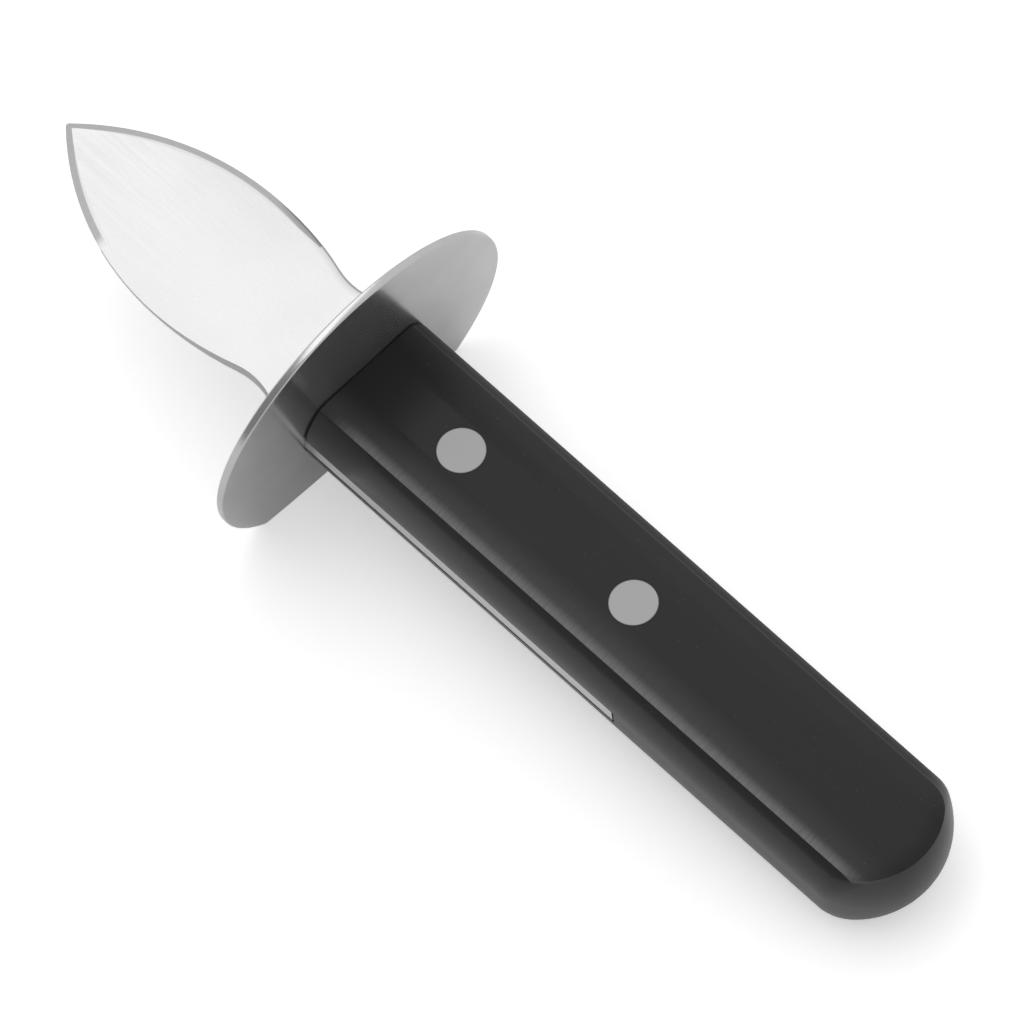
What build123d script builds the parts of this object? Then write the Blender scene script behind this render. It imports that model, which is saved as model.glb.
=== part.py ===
"""Oyster knife: leaf blade with its tang, dished hand guard, one-piece handle and two compression rivets.

Millimetres and degrees. The knife lies as it does on a table, on the foot of the guard and the heel of the
handle: +X to the point of the blade, +Z up, the origin in the middle of the guard's foot.
"""
import math
import os

from build123d import *

os.makedirs("parts", exist_ok=True)

# Handle: straight sides that curve in to a crease at each broad face, and a round butt that is fullest
# above the middle, so that its underside is the rounder one; its length is measured from the guard's rim,
# and the butt's end is an arc a little wider than the handle
handle_length = 109.4
handle_width = 23.3
handle_thickness = 16.4
side_flat = 2.7
crease_inset = 2.6
end_radius_margin = 0.65
end_corner = 5.9
butt_radius = 17.4
butt_crest = 2.1
mouth_break = 0.2

# Levels at which the handle's outline is drawn, as shares of half its thickness, and how much of the
# sides' inset the end's arc and its corners take up
level_shares = [-1.0, -0.72, -0.42, -0.17, 0.17, 0.42, 0.72, 1.0]
end_ease_share = 0.4
corner_ease_share = 0.2

# Steel of the blade and its tang, and the saw cut in the handle that the tang sits in
steel_thickness = 2.4
tang_reach = 60.6
slot_gap = 0.45
slot_end_gap = 0.3

# Leaf of the blade, distances measured forward from the back of the guard
blade_reach = 58.7
belly_forward = 28.6
belly_width = 24.2
waist_forward = 11.2
waist_width = 19.2
waist_radius = 11.0
shoulder_width = 24.6
shoulder_round = 0.8
point_round = 0.5

# Grind of the leaf: how far forward as a share of its reach, then the thickness in the middle and at full
# width as shares of the steel's
grind_shares = [
    (-0.04, 1.0, 0.985),
    (0.2, 1.0, 0.96),
    (0.49, 0.9, 0.16),
    (0.7, 0.7, 0.05),
    (0.88, 0.42, 0.04),
    (1.05, 0.3, 0.04),
]

# Cutting edge: bevels on both faces. The near one ends short, the far one goes on past the arc of the nose,
# straight ahead, so that it runs out where the leaf turns away from it
edge_thickness = 0.24
bevel_angle = 16.0
near_bevel_start = 41.0
far_bevel_start = 33.0
far_run_out = 14.0

# Guard: a round plate, dished toward the handle, that leans back a little and stands on a flat foot
guard_radius = 26.7
guard_thickness = 1.2
guard_dish = 1.1
guard_lean = 4.8
guard_rise = 0.8
foot_drop = 18.1
rim_break = 0.25
tang_clearance = 0.1

# Compression rivets: a pin pressed into a barrel, both heads flush with the handle
front_rivet_back = 20.4
rivet_spacing = 33.3
head_diameter = 7.0
head_thickness = 1.4
head_clearance = 0.05
barrel_diameter = 4.0
barrel_end_wall = 0.5
pin_diameter = 2.6
pin_stop_gap = 0.6
tang_hole_clearance = 0.1

# One overrun serves every cut, and one turn past the point serves the bevels
cut_overrun = 2.0
turn_overrun = 10.0

# Halves, and the radii of the handle's sides and of the dished plate
half_width = handle_width / 2
end_radius = half_width + end_radius_margin
half_thickness = handle_thickness / 2
half_steel = steel_thickness / 2
half_flat = side_flat / 2
side_rise = half_thickness - half_flat
side_radius = (side_rise**2 + crease_inset**2) / (2 * crease_inset)
dish_radius = (guard_radius**2 + guard_dish**2) / (2 * guard_dish)
rivet_backs = {"front": front_rivet_back, "rear": front_rivet_back + rivet_spacing}
rivet_points = [(-back, 0) for back in rivet_backs.values()]


def side_inset(level):
    """How far the handle's sides stand in at this height above its middle."""
    height = max(abs(level) - half_flat, 0)
    return side_radius - math.sqrt(side_radius**2 - height**2)


def butt_inset(level):
    """How far the handle's butt stands in at this height above its middle."""
    return butt_radius - math.sqrt(butt_radius**2 - (level - butt_crest) ** 2)


def dish_depth(distance):
    """How far the guard's plate lies behind its rim, at this distance from its centre."""
    return math.sqrt(dish_radius**2 - distance**2) - (dish_radius - guard_dish)


# Resting pose: the floor runs from the crease at the handle's heel to the foot of the guard
lean = math.radians(guard_lean)
heel_back = handle_length - butt_inset(-half_thickness)
tilt = math.atan2(
    foot_drop * math.cos(lean) - half_thickness,
    foot_drop * math.sin(lean) + heel_back,
)
rake = tilt + lean
foot_depth = dish_depth(foot_drop + guard_rise)
axis_height = foot_drop * math.cos(rake)
axis_back = foot_drop * math.sin(rake) + (guard_thickness / 2 - foot_depth) / math.cos(rake)

# The middle plane of the steel, the back of the guard's rim, and what seats on the dished plate
knife = Plane(
    origin=(-axis_back, 0, axis_height),
    x_dir=(math.cos(tilt), 0, math.sin(tilt)),
    z_dir=(-math.sin(tilt), 0, math.cos(tilt)),
)
guard_back = Plane(
    origin=knife.origin,
    x_dir=(0, 1, 0),
    z_dir=(math.cos(rake), 0, math.sin(rake)),
)
shoulder_corner = math.hypot(shoulder_width / 2, guard_rise + half_steel)
shoulder_seat = guard_back.offset(guard_thickness - dish_depth(shoulder_corner))
handle_seat = guard_back.offset(-guard_dish)


def across(forward):
    """Plane square to the knife's axis, its x to the side and its y toward the upper broad face."""
    place = knife.from_local_coords((forward, 0, 0))
    return Plane(origin=place, x_dir=knife.y_dir, z_dir=knife.x_dir)


# Outline of the leaf: one arc from the point to the belly, an S from the belly round the waist
tip = (blade_reach, 0)
belly = (belly_forward, belly_width / 2)
waist_run = belly_forward - waist_forward
waist_drop = (belly_width - waist_width) / 2
swing = 2 * math.atan2(waist_drop, waist_run)
swing_radius = waist_run / math.sin(swing) - waist_radius
turning_point = (
    belly_forward - swing_radius * math.sin(swing),
    belly_width / 2 - swing_radius * (1 - math.cos(swing)),
)
shoulder_rise = (shoulder_width - waist_width) / 2
shoulder_run = math.sqrt(waist_radius**2 - (waist_radius - shoulder_rise) ** 2)
shoulder = (waist_forward - shoulder_run, shoulder_width / 2)

# The arcs of the nose, which the bevels follow
nose_run = blade_reach - belly_forward
nose_radius = (nose_run**2 + belly[1] ** 2) / (2 * belly[1])
nose_centre_drop = nose_radius - belly[1]
bevel_slope = math.tan(math.radians(bevel_angle))


def nose_turn(forward):
    """Angle about the nose arc's centre, from straight ahead, of the point this far forward."""
    return math.acos((forward - belly_forward) / nose_radius)


def nose_section(side, forward):
    """Plane across the nose arc of one side (1 or -1), with its origin at the arc's centre."""
    turn = nose_turn(forward)
    outward = knife.x_dir * math.cos(turn) + knife.y_dir * side * math.sin(turn)
    centre = knife.from_local_coords((belly_forward, -side * nose_centre_drop, 0))
    return Plane(origin=centre, x_dir=outward, z_dir=outward.cross(knife.z_dir))


# Blade: leaf, grind, bevels, shoulders against the guard, then the tang
with BuildPart() as blade:
    with BuildSketch(knife) as leaf:
        with BuildLine():
            TangentArc(belly, tip, tangent=(1, 0))
            swing_arc = TangentArc(belly, turning_point, tangent=(-1, 0))
            TangentArc(turning_point, shoulder, tangent=swing_arc % 1)
            Line(shoulder, (0, shoulder_width / 2))
            Line((0, shoulder_width / 2), (0, 0))
            mirror(about=Plane.XZ)
        make_face()
        fillet(leaf.vertices().sort_by(Axis.X)[-1], point_round)
        fillet(leaf.vertices().sort_by(lambda v: abs(v.X - shoulder[0]))[:2], shoulder_round)
    extrude(amount=steel_thickness, both=True)

    # The lens-shaped grind sets the thickness, less toward the point and the edges
    for forward_share, middle_share, edge_share in grind_shares:
        with BuildSketch(across(forward_share * blade_reach)):
            with BuildLine():
                span = shoulder_width / 2 + cut_overrun
                middle = middle_share * half_steel
                edge = edge_share * half_steel
                upper = ThreePointArc((-span, edge), (0, middle), (span, edge))
                lower = ThreePointArc((-span, -edge), (0, -middle), (span, -edge))
                Line(upper @ 0, lower @ 0)
                Line(upper @ 1, lower @ 1)
            make_face()
    loft(mode=Mode.INTERSECT)

    # Bevels: a cone of waste is turned about the centre of each nose arc, over each face
    for side, start, run_out in ((1, near_bevel_start, 0), (-1, far_bevel_start, far_run_out)):
        section = nose_section(side, start)
        inside = nose_radius - steel_thickness / bevel_slope
        outside = nose_radius + cut_overrun
        for face in (1, -1):
            waste = [
                (inside, face * (edge_thickness / 2 + steel_thickness)),
                (outside, face * (edge_thickness / 2 + steel_thickness)),
                (outside, face * (edge_thickness / 2 - cut_overrun * bevel_slope)),
            ]
            with BuildSketch(section):
                Polygon(*waste, align=None)
            revolve(
                axis=Axis(section.origin, knife.z_dir * -side),
                revolution_arc=math.degrees(nose_turn(start) - nose_turn(blade_reach)) + turn_overrun,
                mode=Mode.SUBTRACT,
            )
            if run_out:
                with BuildSketch(section):
                    Polygon(*waste, align=None)
                extrude(amount=run_out, mode=Mode.SUBTRACT)
    split(bisect_by=shoulder_seat, keep=Keep.TOP)

    # The tang is as wide as the handle, so its edges show along both sides
    with BuildSketch(knife):
        with Locations((-tang_reach, 0)):
            Rectangle(tang_reach + shoulder[0] / 2, handle_width, align=(Align.MIN, Align.CENTER))
    extrude(amount=half_steel, both=True)
    with BuildSketch(knife):
        with Locations(rivet_points):
            Circle(barrel_diameter / 2 + tang_hole_clearance)
    extrude(amount=steel_thickness, both=True, mode=Mode.SUBTRACT)
blade.part.label = "blade"
export_step(blade.part, "parts/blade.step")

# Guard: a plate between two equal spheres, cut level with the floor and slotted for the tang
with BuildPart() as guard:
    with BuildSketch(guard_back.offset(-guard_dish - cut_overrun)):
        with Locations((0, guard_rise)):
            Circle(guard_radius)
    extrude(amount=guard_dish + cut_overrun + guard_thickness)
    for forward, how in ((0, Mode.INTERSECT), (guard_thickness, Mode.SUBTRACT)):
        middle = guard_back.from_local_coords((0, guard_rise, dish_radius - guard_dish + forward))
        with Locations(Plane(origin=middle, x_dir=guard_back.z_dir, z_dir=guard_back.y_dir)):
            Sphere(dish_radius, mode=how)
    chamfer(guard.edges().filter_by(GeomType.CIRCLE), rim_break)
    split(bisect_by=Plane.XY, keep=Keep.TOP)
    with BuildSketch(across(0)):
        Rectangle(handle_width + 2 * tang_clearance, steel_thickness + 2 * tang_clearance)
    extrude(amount=guard_dish + guard_thickness + cut_overrun, both=True, mode=Mode.SUBTRACT)
guard.part.label = "guard"
export_step(guard.part, "parts/guard.step")

# Handle: lofted through its outlines at each level, from the lower broad face to the upper one
with BuildPart() as handle:
    for share in level_shares:
        level = share * half_thickness
        half = half_width - side_inset(level)
        back = handle_length - butt_inset(level)
        radius = end_radius - end_ease_share * side_inset(level)
        end_meet = back - radius + math.sqrt(radius**2 - half**2)
        with BuildSketch(knife.offset(level)) as outline:
            with BuildLine():
                Line((cut_overrun, half), (-end_meet, half))
                ThreePointArc((-end_meet, half), (-back, 0), (-end_meet, -half))
                Line((-end_meet, -half), (cut_overrun, -half))
                Line((cut_overrun, -half), (cut_overrun, half))
            make_face()
            fillet(
                outline.vertices().sort_by(Axis.X)[:2],
                end_corner - corner_ease_share * side_inset(level),
            )
    loft()

    # Front face against the dished plate, with the edge of its mouth broken
    split(bisect_by=handle_seat, keep=Keep.BOTTOM)
    chamfer(handle.faces().sort_by(Axis.X)[-1].edges(), mouth_break)

    # Saw cut for the tang, which is drawn up against the cut's upper wall
    with BuildSketch(across(-tang_reach - slot_end_gap)):
        with Locations((0, half_steel)):
            Rectangle(
                handle_width + cut_overrun,
                steel_thickness + slot_gap,
                align=(Align.CENTER, Align.MAX),
            )
    extrude(amount=tang_reach + slot_end_gap + cut_overrun, mode=Mode.SUBTRACT)

    # Rivet holes, wider at both broad faces for the heads
    with BuildSketch(knife):
        with Locations(rivet_points):
            Circle(barrel_diameter / 2)
    extrude(amount=handle_thickness, both=True, mode=Mode.SUBTRACT)
    for side in (1, -1):
        with BuildSketch(knife.offset(side * (half_thickness - head_thickness))):
            with Locations(rivet_points):
                Circle(head_diameter / 2 + head_clearance)
        extrude(amount=side * handle_thickness, mode=Mode.SUBTRACT)
handle.part.label = "handle"
export_step(handle.part, "parts/handle.step")

# Rivets: the barrel comes up from the lower broad face, the pin goes down into it from the upper one
head_seat = half_thickness - head_thickness
for name, back in rivet_backs.items():
    with BuildPart() as barrel:
        with BuildSketch(knife.offset(-half_thickness)):
            with Locations((-back, 0)):
                Circle(head_diameter / 2)
        extrude(amount=head_thickness)
        with BuildSketch(knife.offset(-head_seat)):
            with Locations((-back, 0)):
                Circle(barrel_diameter / 2)
        extrude(amount=2 * head_seat)
        with BuildSketch(knife.offset(barrel_end_wall - half_thickness)):
            with Locations((-back, 0)):
                Circle(pin_diameter / 2)
        extrude(amount=handle_thickness, mode=Mode.SUBTRACT)
    barrel.part.label = f"{name}_rivet_barrel"
    export_step(barrel.part, f"parts/{name}_rivet_barrel.step")

    with BuildPart() as pin:
        with BuildSketch(knife.offset(head_seat)):
            with Locations((-back, 0)):
                Circle(head_diameter / 2)
        extrude(amount=head_thickness)
        with BuildSketch(knife.offset(head_seat)):
            with Locations((-back, 0)):
                Circle(pin_diameter / 2)
        extrude(amount=-(head_seat + half_thickness - barrel_end_wall - pin_stop_gap))
    pin.part.label = f"{name}_rivet_pin"
    export_step(pin.part, f"parts/{name}_rivet_pin.step")
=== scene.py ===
"""Oyster knife, dressed: brushed leaf blade, satin guard, moulded handle, flush rivets.

Lengths are metres. Pieces are shaped in the knife's own frame, along its length, to its side and
up through its broad faces, and then laid down as the knife lies, on the guard's foot and the heel.
"""

import math

import bmesh
import bpy
from mathutils import Matrix, Vector


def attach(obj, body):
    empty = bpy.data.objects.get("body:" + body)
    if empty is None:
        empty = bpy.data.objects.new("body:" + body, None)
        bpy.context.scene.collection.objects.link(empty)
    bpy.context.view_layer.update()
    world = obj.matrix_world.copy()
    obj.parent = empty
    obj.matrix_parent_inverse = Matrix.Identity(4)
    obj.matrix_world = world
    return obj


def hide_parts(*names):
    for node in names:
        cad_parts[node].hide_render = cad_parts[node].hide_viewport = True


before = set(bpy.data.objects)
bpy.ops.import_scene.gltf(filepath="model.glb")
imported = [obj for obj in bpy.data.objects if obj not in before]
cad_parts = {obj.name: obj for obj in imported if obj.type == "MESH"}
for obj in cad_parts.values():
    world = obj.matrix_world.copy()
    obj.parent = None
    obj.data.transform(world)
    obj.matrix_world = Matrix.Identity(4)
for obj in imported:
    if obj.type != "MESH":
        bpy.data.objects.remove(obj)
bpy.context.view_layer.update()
MM = 0.001

# How the knife lies
TILT = math.radians(5.2263)
LEAN = math.radians(4.8)
KNIFE_ORIGIN = Vector((-3.2027, 0.0, 17.8236)) * MM
KNIFE_TURN = (0.0, -TILT, 0.0)
KNIFE_PLACE = Matrix.Translation(KNIFE_ORIGIN) @ Matrix.Rotation(-TILT, 4, "Y")

# Handle
HANDLE_BACK = 109.4 * MM
HALF_WIDTH = 11.65 * MM
HALF_THICKNESS = 8.2 * MM
SIDE_FLAT = 1.35 * MM
END_RADIUS = 12.3 * MM
END_CORNER = 5.9 * MM
BUTT_RADIUS = 17.4 * MM
BUTT_CREST = 2.1 * MM
END_EASE = 0.4
CORNER_EASE = 0.2
MOUTH_AHEAD = 4.0 * MM
MOUTH_BREAK = 0.18 * MM

# The broad faces roll down to the crease, the lower one less, and the sides curve in to it
ROLL_WIDTH = 5.2 * MM
ROLL_POWER = 5
ROLL_DROP = 0.45 * MM
UNDER_ROLL_DROP = 0.12 * MM
CREASE_INSET = 2.73 * MM
CREASE_LEVEL = HALF_THICKNESS - ROLL_DROP
CREASE_SIDE = HALF_WIDTH - CREASE_INSET
SIDE_RISE = CREASE_LEVEL - SIDE_FLAT
SIDE_RADIUS = (SIDE_RISE**2 + CREASE_INSET**2) / (2 * CREASE_INSET)

# Saw cut for the tang, and the recesses of the rivet heads
TANG_END = 60.9 * MM
HALF_STEEL = 1.2 * MM
SLOT_FLOOR = -1.65 * MM
RIVET_BACKS = (20.4 * MM, 53.7 * MM)
RECESS_RADIUS = 3.55 * MM
RECESS_DEPTH = 1.4 * MM
RECESS_FLOOR = HALF_THICKNESS - RECESS_DEPTH

# Rings at which the handle is drawn: up the side as shares of the way to the crease, then in over
# the roll as shares of its width. The upper ones are close, because the light runs along there.
UPPER_SIDES = (
    0.0, 0.17, 0.24, 0.32, 0.41, 0.5, 0.59, 0.67, 0.75, 0.82, 0.88, 0.93, 0.965, 0.99, 1.0
)
UPPER_ROLLS = (0.02, 0.05, 0.09, 0.14, 0.2, 0.27, 0.35, 0.45, 0.57, 0.75, 1.0)
LOWER_SIDES = (0.0, 0.17, 0.28, 0.4, 0.52, 0.64, 0.75, 0.85, 0.93, 1.0)
LOWER_ROLLS = (0.12, 0.28, 0.5, 1.0)
CORNER_STEPS = 16
BUTT_STEPS = 20

# Neck of the leaf
BELLY_FORWARD = 28.6 * MM
HALF_BELLY = 12.1 * MM
WAIST_FORWARD = 11.2 * MM
HALF_WAIST = 9.6 * MM
WAIST_RADIUS = 11.0 * MM
NECK_SWING = 2 * math.atan2(HALF_BELLY - HALF_WAIST, BELLY_FORWARD - WAIST_FORWARD)
SWING_RADIUS = (BELLY_FORWARD - WAIST_FORWARD) / math.sin(NECK_SWING) - WAIST_RADIUS
TURN_FORWARD = WAIST_FORWARD + WAIST_RADIUS * math.sin(NECK_SWING)

# Nose of the leaf, and where the painted highlight over its near bevel ends
NOSE_RUN = 30.1 * MM
NOSE_RADIUS = (NOSE_RUN**2 + HALF_BELLY**2) / (2 * HALF_BELLY)
NOSE_DROP = NOSE_RADIUS - HALF_BELLY
NEAR_BEVEL_HIGHLIGHT_END = 41.0 * MM

# Guard
GUARD_RADIUS = 26.7 * MM
GUARD_THICKNESS = 1.2 * MM
GUARD_DISH = 1.1 * MM
GUARD_RISE = 0.8 * MM
RIM_ROUND = 0.28 * MM
DISH_RADIUS = (GUARD_RADIUS**2 + GUARD_DISH**2) / (2 * GUARD_DISH)
SLOT_WIDTH = 23.5 * MM
SLOT_HEIGHT = 2.6 * MM
DISH_STEPS = 24
RIM_STEPS = 5
TURN_STEPS = 256

# Tolerances, from which angle on an edge stays sharp, and how far the cutters reach
SAME_RING = 0.00002 * MM
SAME_PLANE = 0.0001 * MM
SAW_TOLERANCE = 0.0002 * MM
SAME_POINT = 0.002 * MM
SHARP_DEGREES = 32.0
CUTTER_REACH = 10.0 * MM
DRUM_SIDES = 96


# Working in edit mode
def shrink_to(point):
    """Merge what is selected into one vertex, and take it here."""
    bpy.ops.mesh.merge(type="CENTER")
    bpy.ops.transform.translate(value=point)


def start_piece(name, point):
    """New piece of one vertex here, left in edit mode with that vertex selected."""
    bpy.ops.object.select_all(action="DESELECT")
    bpy.ops.mesh.primitive_plane_add(size=MM, location=(0.0, 0.0, 0.0))
    piece = bpy.context.object
    piece.name = name
    bpy.ops.object.mode_set(mode="EDIT")
    bpy.ops.mesh.select_mode(type="VERT")
    bpy.ops.mesh.select_all(action="SELECT")
    shrink_to(point)
    return piece


def start_ring(point):
    """One more vertex here in the piece that is being edited, and only that one selected."""
    bpy.ops.mesh.select_all(action="DESELECT")
    bpy.ops.mesh.primitive_plane_add(size=MM, location=(0.0, 0.0, 0.0))
    shrink_to(point)


def pick(piece, test, kind="verts"):
    """Select only the vertices, or the edges, that pass this test."""
    bpy.ops.mesh.select_mode(type={"verts": "VERT", "edges": "EDGE"}[kind])
    bpy.ops.mesh.select_all(action="DESELECT")
    mesh = bmesh.from_edit_mesh(piece.data)
    for element in getattr(mesh, kind):
        if test(element):
            element.select_set(True)
    mesh.select_flush_mode()
    bmesh.update_edit_mesh(piece.data)


def draw_on(move):
    """Draw a straight edge on from the selected vertex."""
    bpy.ops.mesh.extrude_region_move(TRANSFORM_OT_translate={"value": move})


def turn_on(centre, angle, steps, axis=(0.0, 0.0, 1.0)):
    """Spin what is selected by the right hand; Blender's own spin goes against it."""
    bpy.ops.mesh.spin(steps=steps, angle=-angle, center=centre, axis=axis)


def cut_off(point, outward):
    """Saw the selected mesh through here, close the cut and drop the side that this points to."""
    bpy.ops.mesh.bisect(
        plane_co=point, plane_no=outward, use_fill=True, clear_outer=True, threshold=SAW_TOLERANCE
    )


def smooth():
    """Shade the active piece smooth between its sharp edges."""
    bpy.ops.object.shade_smooth_by_angle(angle=math.radians(SHARP_DEGREES))


def finish_edit():
    """Close the seams, turn the faces outward and leave edit mode."""
    bpy.ops.mesh.select_all(action="SELECT")
    bpy.ops.mesh.remove_doubles(threshold=SAME_POINT)
    bpy.ops.mesh.normals_make_consistent(inside=False)
    bpy.ops.object.mode_set(mode="OBJECT")
    smooth()


def take_up(piece):
    """Make this piece the only one selected, and the active one."""
    bpy.ops.object.select_all(action="DESELECT")
    piece.select_set(True)
    bpy.context.view_layer.objects.active = piece


def lay_down(piece, place):
    """Take the piece from its own frame to where it lies, with its object left at the origin."""
    take_up(piece)
    piece.matrix_world = place
    bpy.ops.object.transform_apply(location=True, rotation=True, scale=True)


def cut_away(piece, cutter):
    """Take the cutter's volume out of the piece, and the cutter out of the scene."""
    take_up(piece)
    cut = piece.modifiers.new("cut", "BOOLEAN")
    cut.operation = "DIFFERENCE"
    cut.solver = "EXACT"
    cut.object = cutter
    bpy.ops.object.modifier_apply(modifier=cut.name)
    bpy.data.objects.remove(cutter, do_unlink=True)


def block(low, high):
    """Cutter with these two corners."""
    size = [b - a for a, b in zip(low, high)]
    middle = [(a + b) / 2 for a, b in zip(low, high)]
    bpy.ops.mesh.primitive_cube_add(size=1.0, location=middle, scale=size)
    return bpy.context.object


def drum(radius, low, high, back):
    """Upright round cutter between these two levels, this far behind the guard."""
    bpy.ops.mesh.primitive_cylinder_add(
        vertices=DRUM_SIDES,
        radius=radius,
        depth=high - low,
        location=(-back, 0.0, (low + high) / 2),
    )
    return bpy.context.object


# Handle
def side_inset(level):
    """How far the sides stand in at this level, and past the crease as far as there."""
    height = max(min(abs(level), CREASE_LEVEL) - SIDE_FLAT, 0.0)
    return SIDE_RADIUS - math.sqrt(SIDE_RADIUS**2 - height**2)


def butt_inset(level):
    """How far the butt stands in at this level, and past the crease as far as there."""
    height = max(min(level, CREASE_LEVEL), -CREASE_LEVEL) - BUTT_CREST
    return BUTT_RADIUS - math.sqrt(BUTT_RADIUS**2 - height**2)


def mouth_corner(level, inward):
    """Where the ring at this level, this far inside the crease, starts at the handle's mouth."""
    return MOUTH_AHEAD, HALF_WIDTH - side_inset(level) - inward, level


def draw_half_ring(level, inward):
    """Draw on from the mouth, along the side and round the corner, to the middle of the butt."""
    half = HALF_WIDTH - side_inset(level) - inward
    back = HANDLE_BACK - butt_inset(level) - inward
    radius = END_RADIUS - END_EASE * side_inset(level) - inward
    corner = END_CORNER - CORNER_EASE * side_inset(level) - inward
    reach = radius - corner
    rise = half - corner
    corner_back = back - radius + math.sqrt(reach**2 - rise**2)
    turn = math.atan2(rise, -(corner_back - back + radius))
    draw_on((-corner_back - MOUTH_AHEAD, 0.0, 0.0))
    turn_on((-corner_back, half - corner, level), turn - math.pi / 2, CORNER_STEPS)
    turn_on((radius - back, 0.0, level), math.pi - turn, BUTT_STEPS)


def rings(up, drop, sides, rolls):
    """Each ring's level, from the middle up or down, and how far inside the crease it lies."""
    rising = [(up * share * (HALF_THICKNESS - drop), 0.0) for share in sides]
    rolling = [
        (up * (HALF_THICKNESS - drop * (1 - share) ** ROLL_POWER), share * ROLL_WIDTH)
        for share in rolls
    ]
    return rising + rolling


def make_handle():
    """Half rings drawn from the underside up, bridged and mirrored, then closed and cut."""
    lower = rings(-1, UNDER_ROLL_DROP, LOWER_SIDES, LOWER_ROLLS)
    upper = rings(1, ROLL_DROP, UPPER_SIDES, UPPER_ROLLS)
    last, inward = lower.pop()
    piece = start_piece("handle_moulding", mouth_corner(last, inward))
    draw_half_ring(last, inward)
    for level, inward in lower[:0:-1] + upper:
        start_ring(mouth_corner(level, inward))
        draw_half_ring(level, inward)
        pick(piece, lambda v: min(abs(v.co.z - level), abs(v.co.z - last)) < SAME_RING)
        bpy.ops.mesh.bridge_edge_loops()
        last = level
    bpy.ops.mesh.select_all(action="SELECT")
    bpy.ops.mesh.duplicate()
    bpy.ops.transform.resize(value=(1.0, -1.0, 1.0), center_override=(0.0, 0.0, 0.0))
    bpy.ops.mesh.select_all(action="SELECT")
    bpy.ops.mesh.remove_doubles(threshold=SAME_POINT)
    for side in (1, -1):
        pick(piece, lambda v: side * v.co.z > HALF_THICKNESS - SAME_PLANE)
        bpy.ops.mesh.edge_face_add()
    pick(piece, lambda v: v.co.x > MOUTH_AHEAD - SAME_PLANE)
    bpy.ops.mesh.edge_face_add()
    bpy.ops.mesh.select_all(action="SELECT")
    bpy.ops.mesh.normals_make_consistent(inside=False)
    ahead = Vector((math.cos(LEAN), 0.0, math.sin(LEAN)))
    cut_off(ahead * -GUARD_DISH, ahead)
    pick(
        piece,
        lambda edge: all(abs(v.co.dot(ahead) + GUARD_DISH) < SAME_PLANE for v in edge.verts),
        "edges",
    )
    bpy.ops.mesh.bevel(offset=MOUTH_BREAK, segments=2, affect="EDGES")
    finish_edit()
    wide = 2 * CUTTER_REACH
    cut_away(piece, block((-TANG_END, -wide, SLOT_FLOOR), (CUTTER_REACH, wide, HALF_STEEL)))
    for back in RIVET_BACKS:
        for side in (1, -1):
            low, high = sorted((side * RECESS_FLOOR, side * CUTTER_REACH))
            cut_away(piece, drum(RECESS_RADIUS, low, high, back))
    smooth()
    lay_down(piece, KNIFE_PLACE)
    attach(piece, "root")
    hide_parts("handle")
    return piece


# Guard
def make_guard():
    """Half of the section, drawn out from the middle and spun about the guard's own axis."""
    piece = start_piece("guard_plate", (0.0, 0.0, -GUARD_DISH))
    spread = math.asin((GUARD_RADIUS - RIM_ROUND) / DISH_RADIUS)
    side = (0.0, 1.0, 0.0)
    turn_on((0.0, 0.0, DISH_RADIUS - GUARD_DISH), -spread, DISH_STEPS, side)
    rim = DISH_RADIUS * math.sin(spread)
    rim_level = DISH_RADIUS * (1.0 - math.cos(spread)) - GUARD_DISH
    turn_on((rim, 0.0, rim_level + RIM_ROUND), -math.pi / 2, RIM_STEPS, side)
    draw_on((0.0, 0.0, GUARD_THICKNESS - 2 * RIM_ROUND))
    turn_on((rim, 0.0, rim_level + GUARD_THICKNESS - RIM_ROUND), -math.pi / 2, RIM_STEPS, side)
    turn_on((0.0, 0.0, DISH_RADIUS - GUARD_DISH + GUARD_THICKNESS), spread, DISH_STEPS, side)
    bpy.ops.mesh.select_all(action="SELECT")
    turn_on((0.0, 0.0, 0.0), 2 * math.pi, TURN_STEPS)
    finish_edit()
    rise = Vector((-math.sin(TILT + LEAN), 0.0, math.cos(TILT + LEAN)))
    place = Matrix.Translation(KNIFE_ORIGIN + rise * GUARD_RISE)
    place @= Matrix.Rotation(math.pi / 2 - TILT - LEAN, 4, "Y")
    lay_down(piece, place)
    bpy.ops.object.mode_set(mode="EDIT")
    bpy.ops.mesh.select_all(action="SELECT")
    cut_off((0.0, 0.0, 0.0), (0.0, 0.0, -1.0))
    finish_edit()
    corner = Vector((CUTTER_REACH, SLOT_WIDTH / 2, SLOT_HEIGHT / 2))
    slot = block(-corner, corner)
    lay_down(slot, KNIFE_PLACE)
    cut_away(piece, slot)
    smooth()
    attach(piece, "root")
    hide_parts("guard")
    return piece


# Materials
class Wire:
    """A socket that can stand in a sum as a number does."""

    def __init__(self, finish, socket):
        self.finish = finish
        self.socket = socket

    def maths(self, operation, *others):
        return self.finish.add("ShaderNodeMath", [self, *others], operation=operation)

    def __add__(self, other):
        return self.maths("ADD", other)

    __radd__ = __add__

    def __sub__(self, other):
        return self.maths("SUBTRACT", other)

    def __rsub__(self, other):
        return self.finish.add("ShaderNodeMath", [other, self], operation="SUBTRACT")

    def __mul__(self, other):
        return self.maths("MULTIPLY", other)

    __rmul__ = __mul__

    def __abs__(self):
        return self.maths("ABSOLUTE")

    def ramp(self, low, high, bottom=0.0, top=1.0):
        """Smooth step from bottom to top while this goes from low to high."""
        return self.finish.add(
            "ShaderNodeMapRange", [self, low, high, bottom, top], interpolation_type="SMOOTHSTEP"
        )


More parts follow.
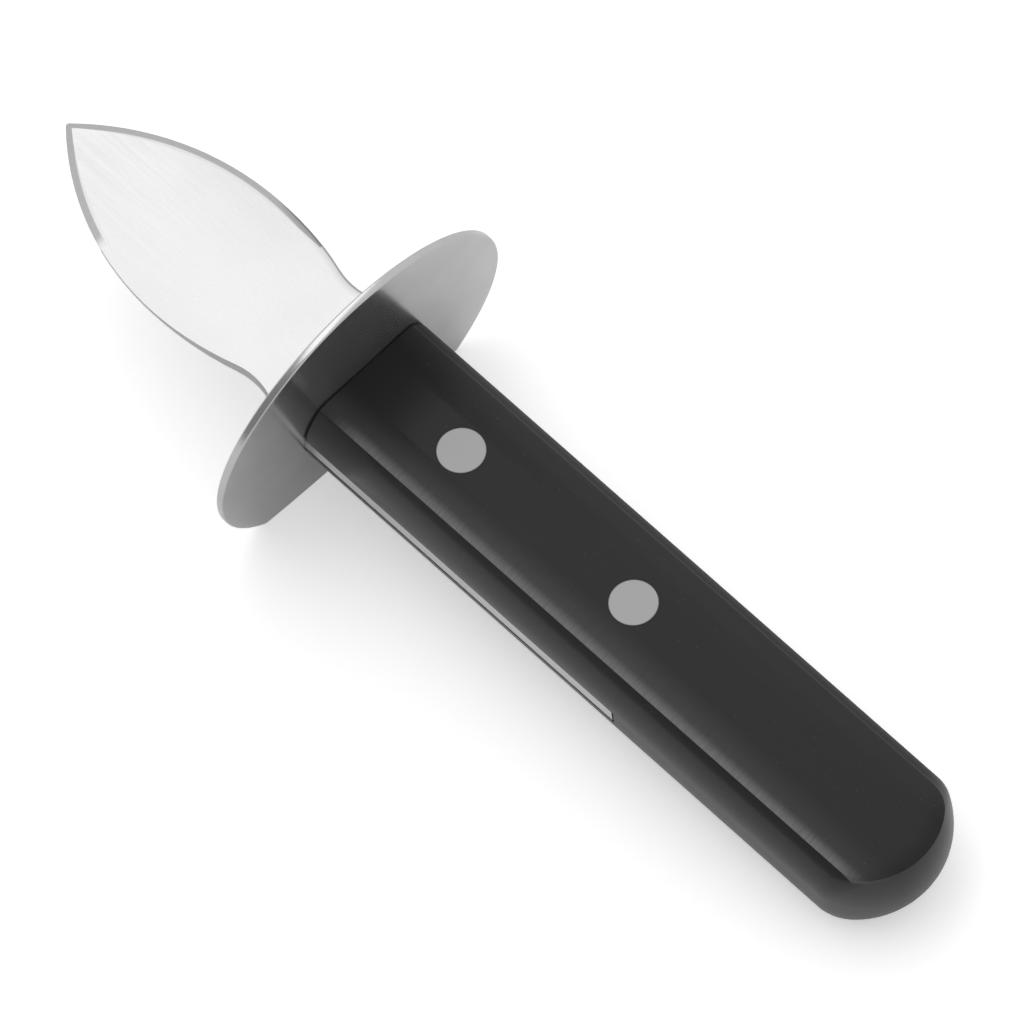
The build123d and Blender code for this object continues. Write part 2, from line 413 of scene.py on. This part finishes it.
class Wiring:
    """A node tree whose nodes are added from sums."""

    def __init__(self, tree):
        self.tree = tree

    def add(self, kind, values=(), output=0, **settings):
        """One node of this kind: settings first, then its sockets in order or by name."""
        node = self.tree.nodes.new(kind)
        for key, value in settings.items():
            setattr(node, key, value)
        pairs = values.items() if isinstance(values, dict) else enumerate(values)
        for key, value in pairs:
            if isinstance(value, Wire):
                self.tree.links.new(value.socket, node.inputs[key])
            elif value is not None:
                node.inputs[key].default_value = value
        return Wire(self, node.outputs[output])

    def along_way(self, vector, way):
        """How much of this vector goes this way."""
        return self.add(
            "ShaderNodeVectorMath", [vector, way], output="Value", operation="DOT_PRODUCT"
        )


class Finish(Wiring):
    """A procedural material; what is even all over it is set by name."""

    def __init__(self, name, **uniform):
        self.material = bpy.data.materials.new(name)
        self.material.use_nodes = True
        super().__init__(self.material.node_tree)
        self.shader = self.tree.nodes["Principled BSDF"]
        for socket, value in uniform.items():
            self.shader.inputs[socket.replace("_", " ")].default_value = value

    def feed(self, socket, wire):
        self.tree.links.new(wire.socket, self.shader.inputs[socket])

    def knife_place(self):
        """Object coordinates turned into the knife's own frame: along, side, up."""
        place = self.add("ShaderNodeTexCoord", output="Object")
        return self.add(
            "ShaderNodeMapping",
            {"Vector": place, "Location": KNIFE_ORIGIN, "Rotation": KNIFE_TURN},
            vector_type="TEXTURE",
        )

    def parts(self, vector):
        """Along, side and up of this vector, each on its own."""
        split = self.add("ShaderNodeSeparateXYZ", [vector])
        return [Wire(self, socket) for socket in split.socket.node.outputs]

    def facing(self, direction):
        """How far the bare surface faces this way in the knife's frame, from -1 to 1."""
        bare = self.add("ShaderNodeNewGeometry", output="True Normal")
        return self.along_way(bare, Matrix.Rotation(-TILT, 3, "Y") @ Vector(direction))

    def scaled(self, place, scale):
        return self.add("ShaderNodeVectorMath", [place, scale], operation="MULTIPLY")

    def noise(self, place, scale=1.0, detail=2.0, rough=0.5):
        return self.add(
            "ShaderNodeTexNoise",
            {"Vector": place, "Scale": scale, "Detail": detail, "Roughness": rough},
        )

    def mix(self, factor, first, second):
        """Colour mix; first and second are colours or wires."""
        return self.add(
            "ShaderNodeMix", {0: factor, 6: first, 7: second}, output=2, data_type="RGBA"
        )

    def bump(self, height, distance, strength=1.0):
        return self.add(
            "ShaderNodeBump", {"Height": height, "Distance": distance, "Strength": strength}
        )


def grey(level):
    return (level, level, level, 1.0)


# Brush marks to the metre on the blade, along, to the side and up, and where its finish, its
# painted highlight and its painted shade change
BROAD_STREAKS = (45.0, 1500.0, 45.0)
FINE_STREAKS = (190.0, 8500.0, 190.0)
CROSS_MARKS = (6500.0, 420.0, 420.0)
BRUSHING_SHOWS = (20.0 * MM, 55.0 * MM)
FLAT_FACING = 0.985
BEVEL_FACING = 0.97
SHEET_EDGE_FACING = (0.7, 0.8)
BEVEL_DARK_WIDTH = (0.9 * MM, 1.1 * MM)
BEVEL_HIGHLIGHT_FADE = 2.0 * MM
NECK_AHEAD = (24.0 * MM, 30.0 * MM)
EDGE_SHADE_WIDTH = 1.5 * MM
RIM_SHADE_WIDTH = (0.1 * MM, 0.4 * MM)
TANG_EDGE = (HALF_WIDTH - 0.2 * MM, HALF_WIDTH - 0.1 * MM)
TANG_STARTS = (-4.0 * MM, -2.0 * MM)


def blade_finish():
    """Sheet brushed lengthwise, with the ground bevels finished across the edge, a painted
    highlight on the bevels and painted shade along the far edge of the neck.
    """
    finish = Finish("brushed_blade_steel", Metallic=1.0)
    place = finish.knife_place()
    along, side = finish.parts(place)[:2]
    toward_point = along.ramp(*BRUSHING_SHOWS, 0.35, 0.85)
    broad = finish.noise(finish.scaled(place, BROAD_STREAKS), detail=3.0)
    fine = finish.noise(finish.scaled(place, FINE_STREAKS), detail=2.0)
    across = finish.noise(finish.scaled(place, CROSS_MARKS), detail=2.0)
    clouds = finish.noise(place, 110.0, detail=3.0)
    level = abs(finish.facing((0.0, 0.0, 1.0)))
    bevel = level.ramp(FLAT_FACING, BEVEL_FACING)
    streaks = broad * 0.75 + fine * 0.25
    brushing = (streaks.ramp(0.32, 0.68) - 0.5) * toward_point + 0.5
    tone = finish.mix(brushing, grey(0.53), grey(0.62))
    tone = finish.mix(bevel, tone, finish.mix(across, grey(0.48), grey(0.56)))

    # Painted highlight: the bevels keep a darker tone at their edges and are painted near white
    # further in, and over the near one back toward the guard, for the bright reflection they catch
    # there
    from_belly = along - BELLY_FORWARD
    nose_side = abs(side) + NOSE_DROP
    from_nose = NOSE_RADIUS - (from_belly * from_belly + nose_side * nose_side).maths("SQRT")
    near_bevel_highlight = along.ramp(NEAR_BEVEL_HIGHLIGHT_END, NEAR_BEVEL_HIGHLIGHT_END + BEVEL_HIGHLIGHT_FADE, 1.0, 0.0)
    near_bevel_highlight = near_bevel_highlight * side.maths("GREATER_THAN", 0.0)
    bevel_painted_highlight = from_nose.ramp(*BEVEL_DARK_WIDTH).maths("MAXIMUM", near_bevel_highlight)
    bevel_painted_highlight = bevel_painted_highlight * bevel * level.ramp(*SHEET_EDGE_FACING)
    tone = finish.mix(bevel_painted_highlight * 0.9, tone, grey(0.94))

    # Painted shade: the far edge of the neck is painted darker over a band, and darker still at
    # its very rim, for the shade where the edge curves away
    from_waist = along - WAIST_FORWARD
    neck = HALF_WAIST + WAIST_RADIUS - (WAIST_RADIUS**2 - from_waist * from_waist).maths("SQRT")
    swell = HALF_BELLY - SWING_RADIUS + (SWING_RADIUS**2 - from_belly * from_belly).maths("SQRT")
    past_turn = along.maths("GREATER_THAN", TURN_FORWARD)
    margin = swell * past_turn + neck * (1 - past_turn) + side
    at_neck = along.ramp(*NECK_AHEAD, 1.0, 0.0)
    neck_edge_painted_shade = margin.ramp(0.0, EDGE_SHADE_WIDTH, 0.28, 0.0) + margin.ramp(*RIM_SHADE_WIDTH, 0.55, 0.0)
    tone = finish.mix(neck_edge_painted_shade * at_neck, tone, grey(0.12))

    # The tang's edges are polished with the handle's sides
    tang_edge = abs(side).ramp(*TANG_EDGE) * along.ramp(*TANG_STARTS, 1.0, 0.0)
    polished = finish.mix(across, grey(0.72), grey(0.86))
    finish.feed("Base Color", finish.mix(tang_edge, tone, polished))
    finish.feed("Roughness", streaks * 0.16 + clouds * 0.05 + bevel * 0.08 + 0.17)
    finish.feed("Normal", finish.bump(streaks * (1 - bevel) + across * bevel, 0.012 * MM, 0.5))
    return finish.material


def guard_finish():
    """Stamped sheet with a satin tumbled surface that still mirrors what stands near it."""
    finish = Finish("satin_guard_steel", Metallic=0.92)
    place = finish.knife_place()
    grain = finish.noise(place, 2400.0, detail=2.0)
    clouds = finish.noise(place, 140.0, detail=4.0, rough=0.6)
    finish.feed("Base Color", finish.mix(clouds.ramp(0.35, 0.65), grey(0.57), grey(0.61)))
    finish.feed("Roughness", clouds * 0.05 + grain * 0.03 + 0.16)
    finish.feed("Normal", finish.bump(grain, 0.004 * MM, 0.15))
    return finish.material


# Sanding marks to the metre on the handle, and where its finish, its painted sheen and its painted
# highlight change
SANDING_MARKS = (2400.0, 240.0, 240.0)
ON_FACE = (7.0 * MM, 7.6 * MM)
PAST_CREASE = 0.05 * MM
SHEEN_STARTS = 3.0 * MM
SHEEN_ALONG = (-110.0 * MM, -50.0 * MM)
SANDED_HIGHLIGHT_ACROSS = (CREASE_SIDE - 1.9 * MM, CREASE_SIDE + 0.1 * MM)
SANDED_HIGHLIGHT_BACK = (-108.0 * MM, -100.0 * MM)
SANDED_HIGHLIGHT_AHEAD = (-10.0 * MM, -3.0 * MM)
FAR_SHEEN_WIDTH = 4.0 * MM
BUTT_SHINES = (-106.0 * MM, -99.0 * MM)
SIDE_SHINES = (-4.0 * MM, 8.0 * MM)
FAR_SIDE_DULL = 0.3 * MM


def handle_finish():
    """Black moulded plastic: fine grain, pale specks, painted sheen beside the creases, and the
    near creases sanded across and painted pale as a highlight.
    """
    finish = Finish("moulded_black_plastic", Specular_IOR_Level=0.3, Coat_Roughness=0.14)
    place = finish.knife_place()
    along, side, up = finish.parts(place)
    grain = finish.noise(place, 3800.0, detail=3.0, rough=0.6)
    clouds = finish.noise(place, 90.0, detail=4.0, rough=0.6)
    specks = finish.noise(place, 2900.0, detail=1.0).ramp(0.765, 0.8)
    sanding = finish.noise(finish.scaled(place, SANDING_MARKS), detail=3.0)

    # Painted sheen: the broad faces are painted paler beside the creases, where the light catches
    # them. The near creases are sanded, and also painted pale as a highlight that fades out near
    # the guard, which shades them
    on_face = abs(up).ramp(*ON_FACE) * side.ramp(CREASE_SIDE, CREASE_SIDE + PAST_CREASE, 1.0, 0.0)
    painted_sheen = on_face * side.ramp(SHEEN_STARTS, CREASE_SIDE) * along.ramp(*SHEEN_ALONG, 0.5, 1.0)
    far_painted_sheen = on_face * side.ramp(-CREASE_SIDE, FAR_SHEEN_WIDTH - CREASE_SIDE, 1.0, 0.0)
    edge = on_face * side.ramp(*SANDED_HIGHLIGHT_ACROSS) * along.ramp(*SANDED_HIGHLIGHT_BACK)
    edge = edge * along.ramp(*SANDED_HIGHLIGHT_AHEAD, 1.0, 0.0)
    streaky = sanding.ramp(0.2, 0.8, 0.9, 1.1)
    tone = finish.mix(clouds, grey(0.006), grey(0.01))
    tone = finish.mix((painted_sheen * 0.21 + far_painted_sheen * 0.06) * streaky, tone, grey(0.2))
    tone = finish.mix(edge * sanding.ramp(0.3, 0.7, 0.62, 0.86), tone, grey(0.22))
    finish.feed("Base Color", finish.mix(specks * 0.22, tone, grey(0.25)))

    # The near side and the butt shine, and the far side is dull
    round_side = up.ramp(CREASE_LEVEL - PAST_CREASE, CREASE_LEVEL, 1.0, 0.0)
    at_butt = along.ramp(*BUTT_SHINES, 1.0, 0.0)
    shine = side.ramp(*SIDE_SHINES).maths("MAXIMUM", at_butt * 0.75)
    dull = side.ramp(-CREASE_SIDE - FAR_SIDE_DULL, -CREASE_SIDE, 1.0, 0.0) * (1 - at_butt)
    finish.feed("Coat Weight", round_side * shine * grain.ramp(0.35, 0.65, 0.48, 0.62))
    finish.feed("Roughness", clouds * 0.1 + sanding * edge * 0.2 + dull * 0.22 + 0.34)
    finish.feed("Normal", finish.bump(grain * 0.6 + sanding * edge, 0.02 * MM, 0.4))
    return finish.material


# Turned rings to the metre on the rivet heads, and where the painted shade at their rim starts
TURNED_RINGS = 5200.0
RIM_SHADE_RING = (3.3 * MM, 3.46 * MM)


def rivet_finish():
    """Soft alloy heads, turned flat, with a dark line of painted shade round the rim, where the
    gap to the recess is shaded.
    """
    finish = Finish("flush_rivet_alloy", Metallic=1.0)
    along, side = finish.parts(finish.knife_place())[:2]
    nearest = None
    for back in RIVET_BACKS:
        apart = ((along + back) * (along + back) + side * side).maths("SQRT")
        nearest = apart if nearest is None else nearest.maths("MINIMUM", apart)
    turning = finish.add(
        "ShaderNodeTexNoise",
        {"W": nearest, "Scale": TURNED_RINGS, "Detail": 2.0},
        noise_dimensions="1D",
    )
    tone = finish.mix(turning, grey(0.34), grey(0.39))
    # Painted shade: the ring round the rim of each head is painted dark where the gap to the
    # recess is shaded
    finish.feed("Base Color", finish.mix(nearest.ramp(*RIM_SHADE_RING), tone, grey(0.08)))
    finish.feed("Roughness", turning * 0.12 + 0.42)
    finish.feed("Normal", finish.bump(turning, 0.01 * MM, 0.4))
    return finish.material


finishes = {"blade": blade_finish(), "guard": guard_finish(), "handle": handle_finish()}
alloy = rivet_finish()
for name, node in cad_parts.items():
    node.data.materials.clear()
    node.data.materials.append(finishes.get(name, alloy))
handle = make_handle()
guard = make_guard()
for piece, finish in ((handle, finishes["handle"]), (guard, finishes["guard"])):
    piece.data.materials.clear()
    piece.data.materials.append(finish)


# Studio, with bearings from +X and heights over the floor in degrees
FLOOR_SIZE = 6.0
FLOOR_SEEN = 0.41
FLOOR_MIRRORED = 0.03
ROOM_LEVEL = 0.8
DARK_PATCH = (88.0, 16.0)
DARK_PATCH_ANGLES = (26.0, 60.0)
DARK_PATCH_DEPTH = 0.54
SOFTBOX_AT = (0.0, 77.0)
SOFTBOX_RUN = (-66.0, 0.0)
SOFTBOX_DISTANCE = 1.6
SOFTBOX_SIZE = (0.62, 1.95)
SOFTBOX_WATTS = 3.6


def toward(bearing, height):
    """Direction at this bearing and height."""
    bearing, height = math.radians(bearing), math.radians(height)
    flat = math.cos(height)
    return Vector((flat * math.cos(bearing), flat * math.sin(bearing), math.sin(height)))


# White paper that shows the knife's shadow, and otherwise is as white as the background
bpy.ops.object.select_all(action="DESELECT")
bpy.ops.mesh.primitive_plane_add(size=FLOOR_SIZE, location=(0.0, 0.0, 0.0))
floor = bpy.context.object
floor.name = "floor"
paper = Finish(
    "white_paper",
    Base_Color=grey(0.92),
    Roughness=1.0,
    Specular_IOR_Level=0.0,
    Emission_Color=grey(1.0),
)
seen = paper.add("ShaderNodeLightPath", output="Is Camera Ray")
mirrored = paper.add("ShaderNodeLightPath", output="Is Glossy Ray")
paper.feed("Emission Strength", seen * FLOOR_SEEN + mirrored * FLOOR_MIRRORED)
floor.data.materials.append(paper.material)

# Pale room that knife and floor see, with a darker patch low down on the near side
world = bpy.data.worlds.new("studio")
bpy.context.scene.world = world
world.use_nodes = True
room = Wiring(world.node_tree)
way = room.add("ShaderNodeTexCoord", output="Generated")
inner, outer = (math.cos(math.radians(angle)) for angle in DARK_PATCH_ANGLES)
patch = room.along_way(way, toward(*DARK_PATCH)).ramp(outer, inner)
room_light = ROOM_LEVEL - patch * DARK_PATCH_DEPTH
from_camera = room.add("ShaderNodeLightPath", output="Is Camera Ray")
strength = from_camera + (1 - from_camera) * room_light
room.tree.links.new(strength.socket, room.tree.nodes["Background"].inputs["Strength"])
room.tree.nodes["Background"].inputs["Color"].default_value = grey(1.0)

# Long softbox overhead, which faces the knife
softbox = bpy.data.lights.new("overhead_softbox", "AREA")
softbox.shape = "RECTANGLE"
softbox.size, softbox.size_y = SOFTBOX_SIZE
softbox.energy = SOFTBOX_WATTS
lamp = bpy.data.objects.new("overhead_softbox", softbox)
bpy.context.scene.collection.objects.link(lamp)
back = toward(*SOFTBOX_AT)
run = toward(*SOFTBOX_RUN)
run = (run - back * run.dot(back)).normalized()
lamp.location = back * SOFTBOX_DISTANCE
lamp.rotation_euler = Matrix((run.cross(back), run, back)).transposed().to_euler()
lamp.visible_camera = False

# Camera
camera_data = bpy.data.cameras.new("camera")
camera = bpy.data.objects.new("camera", camera_data)
bpy.context.scene.collection.objects.link(camera)
camera.location = (-0.847907, 0.515301, 1.661753)
camera.rotation_euler = [math.radians(a) for a in (29.6413, 7.0010, -134.3980)]
camera_data.sensor_width = 36.0
camera_data.lens = 490.571
camera_data.clip_end = 20.0
bpy.context.scene.camera = camera
bpy.context.scene.view_settings.view_transform = "Standard"
